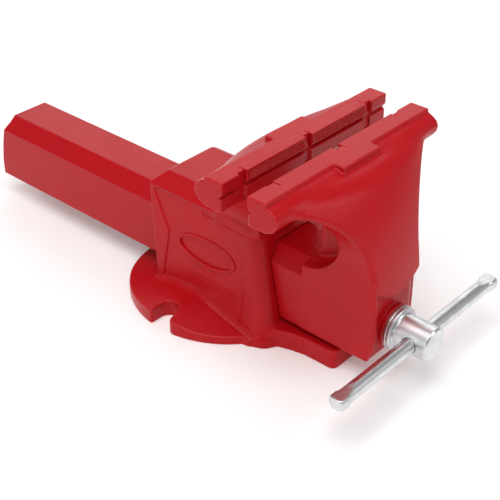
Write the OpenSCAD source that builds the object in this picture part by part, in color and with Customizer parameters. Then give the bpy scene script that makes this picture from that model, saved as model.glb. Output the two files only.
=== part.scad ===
// Bench vise with a round slotted base, a solid front jaw on a square-shouldered slide bar,
// and a screw turned by a sliding bar handle.
// Millimetres. X is to the user's right, Y points to the back of the bench, Z is up.
// The origin is the centre of the base, on its underside, midway between the two bolt slots.

/* [Jaws] */
// Width of both jaws
jaw_w = 150; // [146:1:160]
// Height of the jaw tops above the bench
jaw_top = 134; // [132:1:138]
// Distance from the base centre forward to the fixed jaw's gripping face
jaw_face = 64; // [63:0.5:66]
// Opening between the jaws as drawn
opening = 18.3; // [5:0.1:40]
// Thickness of the flat strip along the top of each jaw
strip_t = 13; // [12:0.5:14]
// Height of a jaw plate
face_h = 10; // [10:0.5:11]
// Height of the flat part of the gripping face, above the undercut
face_flat = 6.8; // [6:0.2:8]
// Depth of the undercut below the flat part
face_step = 2.5; // [2:0.1:3]
// How far the lip below the undercut is set back
lip_step = 0.7; // [0.5:0.1:1.5]
// Thickness of a jaw plate
plate_t = 6; // [5:0.5:7]
// Width of the grooves between the plates
groove_w = 6; // [5:0.5:7]
// Depth of the grooves between the plates
groove_t = 2.2; // [1.5:0.1:4]
// Length of one jaw plate
plate_len = 51; // [48:1:54]
// Half the width of the square tab at the middle of each jaw top
tab_half = 17; // [14:1:19]
// How far the tab stands out past the strip
tab_out = 7; // [5:0.5:8]

/* [Jaw castings] */
// Radius of the arch under each wing
arch_r = 47.5; // [46:0.5:48]
// Radius of the apron's curve from top to bottom
apron_r = 135.8; // [134:0.2:138]
// Distance from the gripping face to the axis that the apron turns about
apron_axis = 120; // [118:1:124]
// Radius of the throat between the jaw and the slide
throat_r = 28.5; // [27:0.5:29]
// Half the thickness of the web in the throat of the front jaw
web_half = 10; // [8:0.5:12]

/* [Slide bar] */
// Width of the slide bar
slide_w = 46.6; // [46:0.2:48]
// Height of the slide bar
slide_h = 48; // [47:0.5:49]
// Height of its underside above the bench
slide_z = 15.8; // [15.6:0.1:16]
// Width of the 45 degree flats along its top edges
slide_bevel = 9.3; // [7:0.1:10]
// How far it reaches behind the base centre
slide_rear = 200; // [190:1:210]
// Clearance between the bar and its tunnel
slide_gap = 0.3; // [0.3:0.05:0.5]
// Half the width of the channel inside the bar
channel_half = 13.3; // [13.2:0.1:13.6]
// Height of the channel's roof above the bench
channel_top = 50; // [49:0.5:51]

/* [Fixed body] */
// Half the width of the body at the base
body_half = 37; // [36:0.5:38]
// Half the width of the body at its shoulder
shoulder_half = 31; // [30:0.5:32]
// Height of the shoulder
shoulder_z = 76.5; // [75:0.5:78]
// Height of the flat top behind the jaw
body_top = 83.5; // [82:0.5:85]
// Half the width of the flat top
crown_half = 20.5; // [19:0.5:22]
// Rear of the body at the base
body_rear = 31; // [29:0.5:32]
// How much further back the shoulder reaches than the foot
rear_rake = 10; // [8:0.5:11]
// Depth of the side panels
panel_depth = 1.2; // [0.8:0.1:1.4]

/* [Base] */
// Radius of the round base
base_r = 67; // [66:0.5:69]
// Thickness of the base
base_t = 13; // [12.5:0.5:13]
// Thickness of the base at its front and rear edges
base_edge = 4.5; // [4:0.5:6]
// How steeply the base falls away outwards in front of the slots, in degrees
base_tilt = 15; // [10:1:18]
// How steeply it falls away outwards at the slots and behind them, in degrees
rim_tilt = 5; // [0:1:8]
// Distance from the base centre to the round end of each bolt slot
slot_x = 58; // [57:0.5:59]
// Radius of the bolt slots
slot_r = 7; // [6.5:0.1:7]
// Distance from the middle to the flare's front corner
flare_foot = 43; // [41:0.5:43.5]
// Length of the tongue in front of the base centre
tongue_len = 109; // [106:1:112]
// Half the width of the tongue at its front
tongue_half = 26; // [24:0.5:28]

/* [Screw] */
// Height of the screw's axis above the bench
screw_z = 31.3; // [31:0.1:31.6]
// Outer radius of the thread
thread_r = 9.8; // [9.6:0.1:9.8]
// Radius of the plain journal
journal_r = 10; // [10:0.1:10.2]
// Radius of the flange and the thrust washer
flange_r = 14.2; // [13.8:0.1:14.6]
// Radius of the screw's head
head_r = 11; // [10.6:0.1:11.4]
// Distance from the base centre forward to the end of the head
head_front = 161.4; // [160:0.2:163]
// Length of the thread behind the base centre
thread_rear = 126; // [124:1:130]
// Radial running clearance of the screw and the handle
run_gap = 0.06; // [0.04:0.01:0.08]

/* [Handle] */
// Radius of the bar handle
bar_r = 4.75; // [4.5:0.05:4.8]
// Length of the bar handle
bar_len = 158; // [150:1:164]
// Distance from the base centre forward to the handle's axis
bar_front = 150; // [149:0.2:151]

/* [Hidden] */
$fn = 96;

paint = "#B3222B";
zinc = "#C9CCCE";
steel = "#7D8084";
e = 0.01;

// Gripping faces, as Y positions
rear_face = -jaw_face;
front_face = -jaw_face - opening;

// Apron: an arc in the plane through the vertical axis that it turns about
apron_arc_x = apron_axis - 83.6;
apron_arc_z = -79.9;
apron_low = -79;
apron_deep = apron_arc_x + apron_r - apron_axis;

// How steeply the base falls away in front of the slots and behind them, in degrees
front_fall = atan((base_t - base_edge) / 50);
rear_fall = atan((base_t - base_edge) / (base_r - slot_r - 5));

// Slide bar and channel
slide_half = slide_w / 2;
slide_top = slide_z + slide_h;
leg_front = front_face - apron_deep;
nose_front = leg_front + 6;
boss_front = leg_front + 1;
boss_r = 14;
wall_back = -112;

// Screw stack, from the front wall forward
washer_t = 2.5;
flange_t = 2.5;
flange_back = boss_front - washer_t;
head_back = flange_back - flange_t;
head_end = -head_front;
// Screw stack, from the front wall back
spring_len = 8;
spring_r = 12.4;
wire_r = 1.1;
keeper_t = 2.5;
keeper_r = 12.6;
pin_r = 2;
pin_len = 24;
pin_y = wall_back + spring_len + keeper_t + pin_r + 0.1;

// Nut
nut_front = -49;
nut_back = -9;
nut_mid = (nut_front + nut_back) / 2;
nut_half = 12.7;
nut_top = 46;
floor_z = 15.5;
spigot_r = 11;
spigot_z = 9.5;
bolt_r = 5;
bolt_af = 17;
bolt_head_h = 6.4;
bolt_washer_r = 13;
bolt_washer_t = 2.5;
counterbore_r = 14;
dowel_r = 2;
dowel_y = -12;

// Jaw plate pins
pin_x = [16, 41];
plate_pin_r = 2;
plate_pin_in = 4;
plate_pin_out = 7;
pin_drop = 3.8;
plate_x0 = groove_w / 2;

bar_end_len = 9;
bar_flat = 3.6;
flat_len = 14;
bar_end_r = 5.6;

// ---------- shared shapes ----------

// Everything on the left, copied to the right
module both_sides() {
    children();
    mirror([1, 0, 0]) children();
}

// A cylinder lying along Y from y0 to y1, on the screw's axis unless moved
module along_y(r, y0, y1, x = 0, z = screw_z) {
    translate([x, y0, z]) rotate([-90, 0, 0]) cylinder(r = r, h = y1 - y0);
}

// A cylinder lying along X from x0 to x1
module along_x(r, x0, x1, y, z) {
    translate([x0, y, z]) rotate([0, 90, 0]) cylinder(r = r, h = x1 - x0);
}

// A plate of outline (y, z) running across the vise from -w/2 to w/2
module across(w) {
    translate([-w / 2, 0, 0])
        rotate([90, 0, 90]) linear_extrude(w) children();
}

// A plate of outline (x, z) running back from y0 to y1
module back_from(y0, y1) {
    translate([0, y1, 0])
        rotate([90, 0, 0]) linear_extrude(y1 - y0) children();
}

// ---------- jaw heads ----------
// Both jaws share one head. It is drawn with its gripping face at y = 0, its top at z = 0
// and its apron towards +Y; leg is half the width that the arches leave at the bottom.

// The bar along the top: a flat strip, a small step, and a rounded nose below it
module jaw_block_outline() {
    polygon([
        [0, 0], [strip_t, 0], [strip_t + 0.4, -2.4], [strip_t + 3.5, -3.8], [strip_t + 6.5, -5.8],
        [strip_t + 8, -9], [strip_t + 7.4, -12.4], [strip_t + 4.8, -16.2], [strip_t, -18.5],
        [6, -19.1], [0, -18.2]
    ]);
}

module jaw_front_view(leg) {
    difference() {
        translate([-jaw_w / 2, apron_low]) square([jaw_w, -apron_low - 1.5]);
        both_sides() {
            translate([leg + arch_r, -60]) circle(arch_r);
            translate([leg, apron_low - 1]) square([jaw_w, -60 - apron_low + 1]);
        }
    }
}

// The doubly curved apron, a slice of a large ring
module apron_ring() {
    translate([0, -apron_axis, 0])
        rotate_extrude($fn = 180)
            intersection() {
                translate([apron_arc_x, apron_arc_z]) circle(apron_r, $fn = 180);
                translate([face_step + apron_axis, apron_low]) square([80, -apron_low - 1.5]);
            }
}

// Space above the apron's gently falling top
module above_apron() {
    slope = 17;
    translate([-jaw_w, strip_t, -1.5])
        rotate([-slope, 0, 0]) cube([2 * jaw_w, 80, 40]);
}

module jaw_head(leg) {
    across(jaw_w) jaw_block_outline();
    difference() {
        intersection() {
            back_from(0, 90) jaw_front_view(leg);
            apron_ring();
        }
        above_apron();
    }
    // Square tab at the middle of the top
    translate([-tab_half, strip_t - 1, -9]) cube([2 * tab_half, tab_out + 1, 9]);
}

// The space below the flat gripping face: a sloping undercut, then a lip that is a little set back
module undercut() {
    across(jaw_w + 2)
        polygon([
            [-1, -face_flat], [0, -face_flat], [face_step, -face_h], [lip_step, -face_h - 0.8],
            [lip_step, -24], [-1, -24]
        ]);
}

// Grooves that part the gripping face, and the seats of the two plates
module jaw_face_cuts() {
    for (x = [-plate_x0 - plate_len - groove_w / 2, 0, plate_x0 + plate_len + groove_w / 2])
        translate([x - groove_w / 2, -1, -face_h - 8]) cube([groove_w, groove_t + 1, face_h + 9]);
    undercut();
    both_sides()
        translate([plate_x0, -1, -face_h]) cube([plate_len, plate_t + 1, face_h + 1]);
    for (x = pin_x)
        both_sides() plate_pin_hole(x);
}

module plate_pin_hole(x) {
    along_y(plate_pin_r, plate_t - plate_pin_in - 0.2, plate_t + plate_pin_out + 0.2, x, -pin_drop);
}

// One jaw plate at its place in a head, from the middle groove outwards
module plate_blank() {
    difference() {
        translate([plate_x0, 0, -face_h]) cube([plate_len, plate_t, face_h]);
        undercut();
        for (x = pin_x)
            plate_pin_hole(x);
    }
}

// Blind pins, pressed half into the plates and half into the casting
module plate_pins() {
    for (x = pin_x)
        both_sides()
            along_y(plate_pin_r, plate_t - plate_pin_in, plate_t + plate_pin_out, x, -pin_drop);
}

// Moves a head drawn at the origin to the fixed jaw or to the sliding jaw
module at_rear_jaw() {
    translate([0, rear_face, jaw_top]) children();
}

module at_front_jaw() {
    translate([0, front_face, jaw_top]) mirror([0, 1, 0]) children();
}

// ---------- fixed body ----------

module tongue_outline() {
    corner = 4;
    polygon([
        [-36, -52], [-31, -72], [-tongue_half, -95], [-tongue_half, corner - tongue_len],
        [tongue_half, corner - tongue_len], [tongue_half, -95], [31, -72], [36, -52]
    ]);
    translate([corner - tongue_half, -tongue_len])
        square([2 * (tongue_half - corner), corner + 1]);
    both_sides() translate([tongue_half - corner, corner - tongue_len]) circle(corner);
}

module bolt_slots() {
    both_sides()
        union() {
            translate([slot_x, 0]) circle(slot_r);
            translate([slot_x, -slot_r]) square([20, 2 * slot_r]);
        }
}

module base_plate() {
    difference() {
        linear_extrude(base_t)
            difference() {
                union() {
                    circle(base_r, $fn = 180);
                    tongue_outline();
                }
                bolt_slots();
            }
        // The base slopes down to a thin edge, outwards, forwards and backwards
        both_sides() side_slopes();
        rear_slope();
    }
}

// Everything above a level plane through the origin
module above_plane() {
    translate([-60, -90, 0]) cube([120, 180, 30]);
}

module side_slopes() {
    translate([body_half + 2, 0, base_t]) {
        rotate([0, rim_tilt, 0]) above_plane();
        translate([0, 3 - slot_r, 0]) rotate([front_fall, base_tilt, 0])
            translate([0, -90, 0]) above_plane();
        translate([0, slot_r + 5, 0]) rotate([-rear_fall, rim_tilt, 0]) above_plane();
    }
    translate([body_half - 1, -slot_r - 4, base_t])
        rotate([front_fall, 0, 0]) translate([0, -90, 0]) cube([60, 90, 30]);
}

module rear_slope() {
    translate([-100, slot_r + 5, base_t]) rotate([-rear_fall, 0, 0]) cube([200, 90, 30]);
}

// Section of the body across the vise
module body_section() {
    polygon([
        [-body_half, 0], [-body_half, base_t], [-shoulder_half, shoulder_z],
        [-crown_half, body_top], [crown_half, body_top], [shoulder_half, shoulder_z],
        [body_half, base_t], [body_half, 0]
    ]);
}

// The body from the side: raked rear, hollow throat in front
module body_side_view() {
    polygon([
        [body_rear, 0], [body_rear, base_t], [body_rear + rear_rake, shoulder_z],
        [body_rear + 3, body_top + 1], [-48, body_top + 1], [-51, shoulder_z],
        [-62, 24], [-63, base_t], [-63, 0]
    ]);
}

module body_block() {
    intersection() {
        back_from(-80, 60) body_section();
        across(2 * body_half + 10) body_side_view();
    }
}

// The flare that runs from the foot of the rear corner out to the front of the body
module base_flare() {
    hull() {
        translate([-body_half, body_rear - 2, 0]) cube([1, 1, base_t + 1]);
        translate([-flare_foot, -54, 0]) cube([1, 1, base_edge + 1]);
        translate([-body_half + 0.4, -62, 0]) cube([1, 1, 28]);
        translate([-30, -62, 0]) cube([1, 90, base_t]);
    }
}

// Recessed side panel, waisted between two curved borders
module side_panel_outline() {
    intersection() {
        polygon([
            [31, 68], [20, 49], [25, 20], [-8, 19], [-43, 29],
            [-42, 54], [-31, 73], [20, 73]
        ]);
        translate([-44, 15]) square([78, 58]);
    }
}

module side_panel_cut() {
    lean = atan((body_half - shoulder_half) / (shoulder_z - base_t));
    translate([-body_half, 0, base_t])
        rotate([0, lean, 0])
            translate([-10, 0, -base_t])
                rotate([90, 0, 90]) linear_extrude(10 + panel_depth) side_panel_outline();
}

module slide_section(grow = 0) {
    h = slide_half + grow;
    z1 = slide_top + grow;
    bevel = slide_bevel + grow * 0.6;
    polygon([
        [-h, slide_z - grow], [-h, z1 - bevel], [-h + bevel, z1],
        [h - bevel, z1], [h, z1 - bevel], [h, slide_z - grow]
    ]);
}

module rear_throat_cut() {
    throat = 42;
    along_x(throat, -80, 80, rear_face - 29, jaw_top - 48);
}

module fixed_body() {
    color(paint)
    difference() {
        union() {
            base_plate();
            body_block();
            both_sides() base_flare();
            difference() {
                at_rear_jaw() jaw_head(shoulder_half);
                intersection() {
                    rear_throat_cut();
                    translate([-80, -100, 0]) cube([160, 100, jaw_top - 18.9]);
                }
                // The apron ends on the body's crown
                translate([-80, -80, -1]) cube([160, 120, shoulder_z]);
            }
        }
        back_from(-70, 60) slide_section(slide_gap);
        both_sides() side_panel_cut();
        at_rear_jaw() jaw_face_cuts();
        // Seat of the nut's spigot, and the counterbore for its bolt and washer
        translate([0, nut_mid, spigot_z - e]) cylinder(r = spigot_r + 0.05, h = 10);
        translate([0, nut_mid, -1]) cylinder(r = counterbore_r, h = spigot_z + 1);
        translate([0, dowel_y, 6]) cylinder(r = dowel_r, h = 12);
    }
}

// ---------- nut and its fastening ----------

module spindle_nut() {
    color(steel)
    difference() {
        union() {
            translate([-nut_half, nut_front, floor_z])
                cube([2 * nut_half, nut_back - nut_front, nut_top - floor_z]);
            translate([0, nut_mid, spigot_z + 0.2]) cylinder(r = spigot_r, h = 8);
        }
        along_y(thread_r + run_gap, nut_front - 1, nut_back + 1);
        translate([0, nut_mid, 0]) cylinder(r = bolt_r + 0.02, h = 19);
        translate([0, dowel_y, 0]) cylinder(r = dowel_r, h = 19);
    }
}

module nut_dowel() {
    color(steel)
    translate([0, dowel_y, 6.1]) cylinder(r = dowel_r, h = 12.4);
}

module nut_bolt() {
    color(zinc)
    translate([0, nut_mid, 0])
        union() {
            translate([0, 0, spigot_z - bolt_washer_t - bolt_head_h])
                cylinder(d = bolt_af / cos(30), h = bolt_head_h, $fn = 6);
            translate([0, 0, spigot_z - bolt_washer_t - 1]) cylinder(r = bolt_r, h = 12);
        }
}

module nut_bolt_washer() {
    color(zinc)
    translate([0, nut_mid, spigot_z - bolt_washer_t])
        difference() {
            cylinder(r = bolt_washer_r, h = bolt_washer_t);
            translate([0, 0, -1]) cylinder(r = bolt_r + 0.25, h = bolt_washer_t + 2);
        }
}

// ---------- sliding jaw ----------

// Slide bar from the side, with its raked rear end
module slide_side_view() {
    polygon([
        [leg_front + 20, slide_z], [leg_front + 20, slide_top], [slide_rear, slide_top],
        [slide_rear + 3, slide_top - 9], [slide_rear + 6, slide_top - 22],
        [slide_rear + 8.2, slide_top - 34], [slide_rear + 8.4, slide_z]
    ]);
}

// The leg that joins the bar to the head; its foot turns back a little
module leg_side_view() {
    polygon([
        [leg_front + 4, slide_z], [leg_front, slide_z + 8], [leg_front, jaw_top + apron_low + 1],
        [leg_front + 3, jaw_top - 60], [leg_front + 17, jaw_top - 30],
        [front_face - face_step, jaw_top - 17], [front_face - face_step, slide_top - 2],
        [front_face + 3.5, slide_z]
    ]);
}

module front_neck() {
    across(slide_w) leg_side_view();
}

// Scoops on both sides of the throat, which leave a web between them
module throat_scoops() {
    y = front_face + 3.7;
    z = jaw_top - 43;
    intersection() {
        both_sides() along_x(throat_r, web_half, 80, y, z);
        translate([-80, -200, slide_top - 1]) cube([160, 200, jaw_top - 18.9 - slide_top + 1]);
    }
}

// The leg's front corner on the right is clipped from the skirt down
module clipped_corner() {
    translate([0, 0, slide_z - 1])
        linear_extrude(jaw_top + apron_low + 3 - slide_z)
            polygon([
                [slide_half - 9.7, leg_front - 1], [slide_half - 9.7, leg_front],
                [slide_half, leg_front + 9], [slide_half + 1, leg_front + 9],
                [slide_half + 1, leg_front - 1]
            ]);
}

// Trims the foot of the apron to a shallow tongue that is lowest in the middle
module skirt_tip() {
    intersection() {
        back_from(apron_deep - 5, apron_deep + 5)
            both_sides()
                polygon([
                    [0, apron_low - 1], [0, apron_low + 1], [6, apron_low + 1.5],
                    [14, apron_low + 4.9], [22, apron_low + 7], [30, apron_low + 7],
                    [30, apron_low - 1]
                ]);
        translate([-50, apron_deep - 2.5, apron_low - 1]) cube([100, 10, 12]);
    }
}

module sliding_jaw() {
    color(paint)
    difference() {
        union() {
            difference() {
                union() {
                    at_front_jaw() jaw_head(slide_half);
                    front_neck();
                }
                throat_scoops();
            }
            intersection() {
                across(slide_w) slide_side_view();
                back_from(leg_front, slide_rear + 10) slide_section();
            }
        }
        // Recess under the apron's skirt, around the screw's boss
        difference() {
            translate([-slide_half + 2.5, leg_front - 5, slide_z - 1])
                cube([2 * slide_half - 5, nose_front - leg_front + 5, jaw_top + apron_low - slide_z + 1]);
            along_y(boss_r, boss_front, nose_front + 1);
        }
        clipped_corner();
        at_front_jaw() skirt_tip();
        // Channel for the screw and the nut, open below and behind
        translate([-channel_half, wall_back, slide_z - 1])
            cube([2 * channel_half, 400, channel_top - slide_z + 1]);
        along_y(journal_r + run_gap, leg_front - 10, wall_back + 1);
        at_front_jaw() jaw_face_cuts();
    }
}

// ---------- jaw plates and pins ----------

module rear_jaw_plate_right() {
    color(paint) at_rear_jaw() plate_blank();
}

module rear_jaw_plate_left() {
    color(paint) at_rear_jaw() mirror([1, 0, 0]) plate_blank();
}

module front_jaw_plate_right() {
    color(paint) at_front_jaw() plate_blank();
}

module front_jaw_plate_left() {
    color(paint) at_front_jaw() mirror([1, 0, 0]) plate_blank();
}

module rear_plate_pins() {
    color(steel) at_rear_jaw() plate_pins();
}

module front_plate_pins() {
    color(steel) at_front_jaw() plate_pins();
}

// ---------- screw ----------

module spindle() {
    chamfer = 1.2;
    color(zinc)
    difference() {
        union() {
            along_y(thread_r, wall_back + 4, thread_rear);
            along_y(journal_r, flange_back - 1, wall_back + 4.5);
            along_y(flange_r, head_back, flange_back);
            along_y(head_r, head_end + chamfer, head_back + 1);
            translate([0, head_end, screw_z])
                rotate([-90, 0, 0]) cylinder(r1 = head_r - chamfer, r2 = head_r, h = chamfer);
        }
        along_x(bar_r + run_gap, -30, 30, -bar_front, screw_z);
        translate([0, pin_y, screw_z - 20]) cylinder(r = pin_r + 0.02, h = 40);
    }
}

module thrust_washer() {
    color(zinc)
    difference() {
        along_y(flange_r, flange_back, boss_front);
        along_y(journal_r + 0.3, flange_back - 1, boss_front + 1);
    }
}

// Coil spring between the front wall and the retaining washer, drawn as its outer sleeve
module anti_rattle_spring() {
    color(steel)
    difference() {
        along_y(spring_r, wall_back + 0.05, wall_back + spring_len - 0.05);
        along_y(spring_r - 2 * wire_r, wall_back - 1, wall_back + spring_len + 1);
    }
}

module retaining_washer() {
    color(zinc)
    difference() {
        along_y(keeper_r, wall_back + spring_len, wall_back + spring_len + keeper_t);
        along_y(journal_r + 0.3, wall_back, wall_back + spring_len + keeper_t + 1);
    }
}

module retaining_pin() {
    color(steel)
    translate([0, pin_y, screw_z - pin_len / 2]) cylinder(r = pin_r, h = pin_len);
}

// ---------- handle ----------

// Pressed end: spread so that it can't pass the hole, with a small round cap
module bar_end() {
    x0 = bar_len / 2 - bar_end_len;
    translate([x0, -bar_front, screw_z])
        rotate([0, 90, 0]) cylinder(r1 = bar_r, r2 = bar_end_r, h = 3);
    along_x(bar_end_r, x0 + 3, x0 + bar_end_len - 2.5, -bar_front, screw_z);
    translate([x0 + bar_end_len - 2.5, -bar_front, screw_z])
        rotate([0, 90, 0]) cylinder(r1 = bar_end_r - 0.6, r2 = bar_end_r - 2.2, h = 2.5);
}

module tommy_bar() {
    color(zinc)
    difference() {
        union() {
            along_x(bar_r, bar_end_len - bar_len / 2, bar_len / 2 - bar_end_len, -bar_front, screw_z);
            both_sides() bar_end();
        }
        both_sides()
            for (side = [-1, 1])
                translate([bar_len / 2 - flat_len, -bar_front - 10, screw_z + side * (bar_flat + 5) - 5])
                    cube([flat_len + 1, 20, 10]);
    }
}

fixed_body();
spindle_nut();
nut_dowel();
nut_bolt();
nut_bolt_washer();
rear_jaw_plate_left();
rear_jaw_plate_right();
rear_plate_pins();
sliding_jaw();
front_jaw_plate_left();
front_jaw_plate_right();
front_plate_pins();
spindle();
thrust_washer();
anti_rattle_spring();
retaining_washer();
retaining_pin();
tommy_bar();
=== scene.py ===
"""A bench vise: red enamelled castings, zinc-plated screw and bar handle, on a pale floor.

The castings are modelled as distance fields, in millimetres in the row's frame, and meshed here.
"""

import math

import bpy
import numpy as np
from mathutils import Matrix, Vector


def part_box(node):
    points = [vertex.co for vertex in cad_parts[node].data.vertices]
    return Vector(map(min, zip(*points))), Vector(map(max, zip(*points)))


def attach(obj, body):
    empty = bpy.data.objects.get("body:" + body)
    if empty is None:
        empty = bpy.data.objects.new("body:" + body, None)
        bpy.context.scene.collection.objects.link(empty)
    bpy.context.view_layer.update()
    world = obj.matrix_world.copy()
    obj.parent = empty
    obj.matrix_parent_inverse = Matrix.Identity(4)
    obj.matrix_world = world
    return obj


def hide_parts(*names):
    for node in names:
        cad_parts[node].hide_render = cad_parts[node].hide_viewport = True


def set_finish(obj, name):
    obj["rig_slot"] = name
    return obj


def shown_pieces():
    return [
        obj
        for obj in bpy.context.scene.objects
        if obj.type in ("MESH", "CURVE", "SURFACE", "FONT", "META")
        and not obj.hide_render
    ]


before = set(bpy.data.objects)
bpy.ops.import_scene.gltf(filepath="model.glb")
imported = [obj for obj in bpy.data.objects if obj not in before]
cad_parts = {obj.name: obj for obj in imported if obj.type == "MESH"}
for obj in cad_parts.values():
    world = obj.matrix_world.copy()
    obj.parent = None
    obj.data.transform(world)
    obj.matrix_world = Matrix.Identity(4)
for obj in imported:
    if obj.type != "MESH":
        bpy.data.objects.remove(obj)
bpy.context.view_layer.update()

MM = 0.001


def box_mm(node):
    """A CAD node's lowest and highest corners in millimetres."""
    return [np.array(corner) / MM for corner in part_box(node)]


# ---------- places taken from the CAD frame ----------
BODY_HI = box_mm("fixed_body")[1]
SCREW_LO, SCREW_HI = box_mm("spindle")
BAR_LO, BAR_HI = box_mm("tommy_bar")

JAW_TOP = BODY_HI[2]
JAW_HALF = BODY_HI[0]
REAR_FACE = box_mm("rear_jaw_plate_right")[0][1]
FRONT_FACE = box_mm("front_jaw_plate_right")[1][1]
SCREW_Z = (SCREW_LO[2] + SCREW_HI[2]) / 2
BAR_Y = (BAR_LO[1] + BAR_HI[1]) / 2
# Front of the sliding jaw's leg
LEG_FRONT = -134.5
# Half the slide bar's width, and its underside, top and the width of its bevels
SLIDE_HALF = 23.3
SLIDE_BOTTOM = box_mm("sliding_jaw")[0][2]
SLIDE_TOP = SLIDE_BOTTOM + 48
SLIDE_BEVEL = 9.3
# Half the body's width at its shoulder
SHOULDER_HALF = 31


# ---------- distance fields ----------


def join(a, b, r):
    """Union with a round fillet of radius r in the corner."""
    return np.maximum(np.minimum(a, b), r) - np.hypot(
        np.maximum(r - a, 0), np.maximum(r - b, 0)
    )


def common(a, b, r):
    """Intersection with its corner rounded to radius r."""
    return -join(-a, -b, r)


def cut(a, b, r):
    """a with b removed, and the rim rounded to radius r."""
    return common(a, -b, r)


def soften(a, b, k):
    """Intersection of two nearly parallel faces, blended over k."""
    h = np.maximum(k - np.abs(a - b), 0) / k
    return np.maximum(a, b) + h * h * k / 4


def half_plane(u, v, p, q):
    """Distance from the line p to q; the solid lies on its left."""
    du, dv = q[0] - p[0], q[1] - p[1]
    return ((u - p[0]) * dv - (v - p[1]) * du) / math.hypot(du, dv)


def slab(u, lo, hi):
    """Everything between lo and hi."""
    return np.maximum(lo - u, u - hi)


def brick(x, y, z, lo, hi, r=0.0):
    """A block with its edges rounded to radius r."""
    q = [
        np.abs(t - (a + b) / 2) - (b - a) / 2 + r
        for t, a, b in zip((x, y, z), lo, hi)
    ]
    outside = np.sqrt(sum(np.maximum(t, 0) ** 2 for t in q))
    return outside + np.minimum(np.maximum(np.maximum(q[0], q[1]), q[2]), 0) - r


def inset(points, r):
    """The corners of a polygon with every side moved in by r."""
    n = len(points)
    area = sum(
        points[i][0] * points[(i + 1) % n][1] - points[(i + 1) % n][0] * points[i][1]
        for i in range(n)
    )
    sign = 1 if area > 0 else -1
    moved = []
    for i in range(n):
        (x0, y0), (x1, y1) = points[i], points[(i + 1) % n]
        length = math.hypot(x1 - x0, y1 - y0)
        nx, ny = -(y1 - y0) / length * sign, (x1 - x0) / length * sign
        moved.append((x0 + nx * r, y0 + ny * r, x1 - x0, y1 - y0))
    out = []
    for i in range(n):
        ax, ay, adx, ady = moved[i - 1]
        bx, by, bdx, bdy = moved[i]
        det = adx * bdy - ady * bdx
        t = ((bx - ax) * bdy - (by - ay) * bdx) / det
        out.append((ax + adx * t, ay + ady * t))
    return out


def outline(u, v, points, r=0.0):
    """Distance to a polygon whose convex corners are rounded to radius r."""
    pts = inset(points, r) if r else points
    best = None
    sign = 1.0
    n = len(pts)
    for i in range(n):
        (ax, ay), (bx, by) = pts[i], pts[i - 1]
        ex, ey = bx - ax, by - ay
        wu, wv = u - ax, v - ay
        t = np.clip((wu * ex + wv * ey) / (ex * ex + ey * ey), 0, 1)
        d = (wu - ex * t) ** 2 + (wv - ey * t) ** 2
        best = d if best is None else np.minimum(best, d)
        above, below = v >= ay, v < by
        left = ex * wv > ey * wu
        flip = (above & below & left) | (~above & ~below & ~left)
        sign = np.where(flip, -sign, sign)
    return sign * np.sqrt(best) - r


def tube(u, v, cu, cv, r):
    """A round bar or bore seen along its axis."""
    return np.hypot(u - cu, v - cv) - r


# ---------- meshing ----------

# Half the distance between the samples of a slope, and the rounds that pull vertices in place
PROBE = 0.02
PULLS = 3


def axis(lo, hi, step, ends=()):
    """Grid positions from lo to hi. ends lists (position, step) where the step changes."""
    spots = [lo]
    marks = sorted(ends) + [(hi, None)]
    current = step
    for place, following in marks:
        count = max(1, round((place - spots[-1]) / current))
        spots.extend(np.linspace(spots[-1], place, count + 1)[1:])
        current = following
    return np.array(spots)


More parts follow.
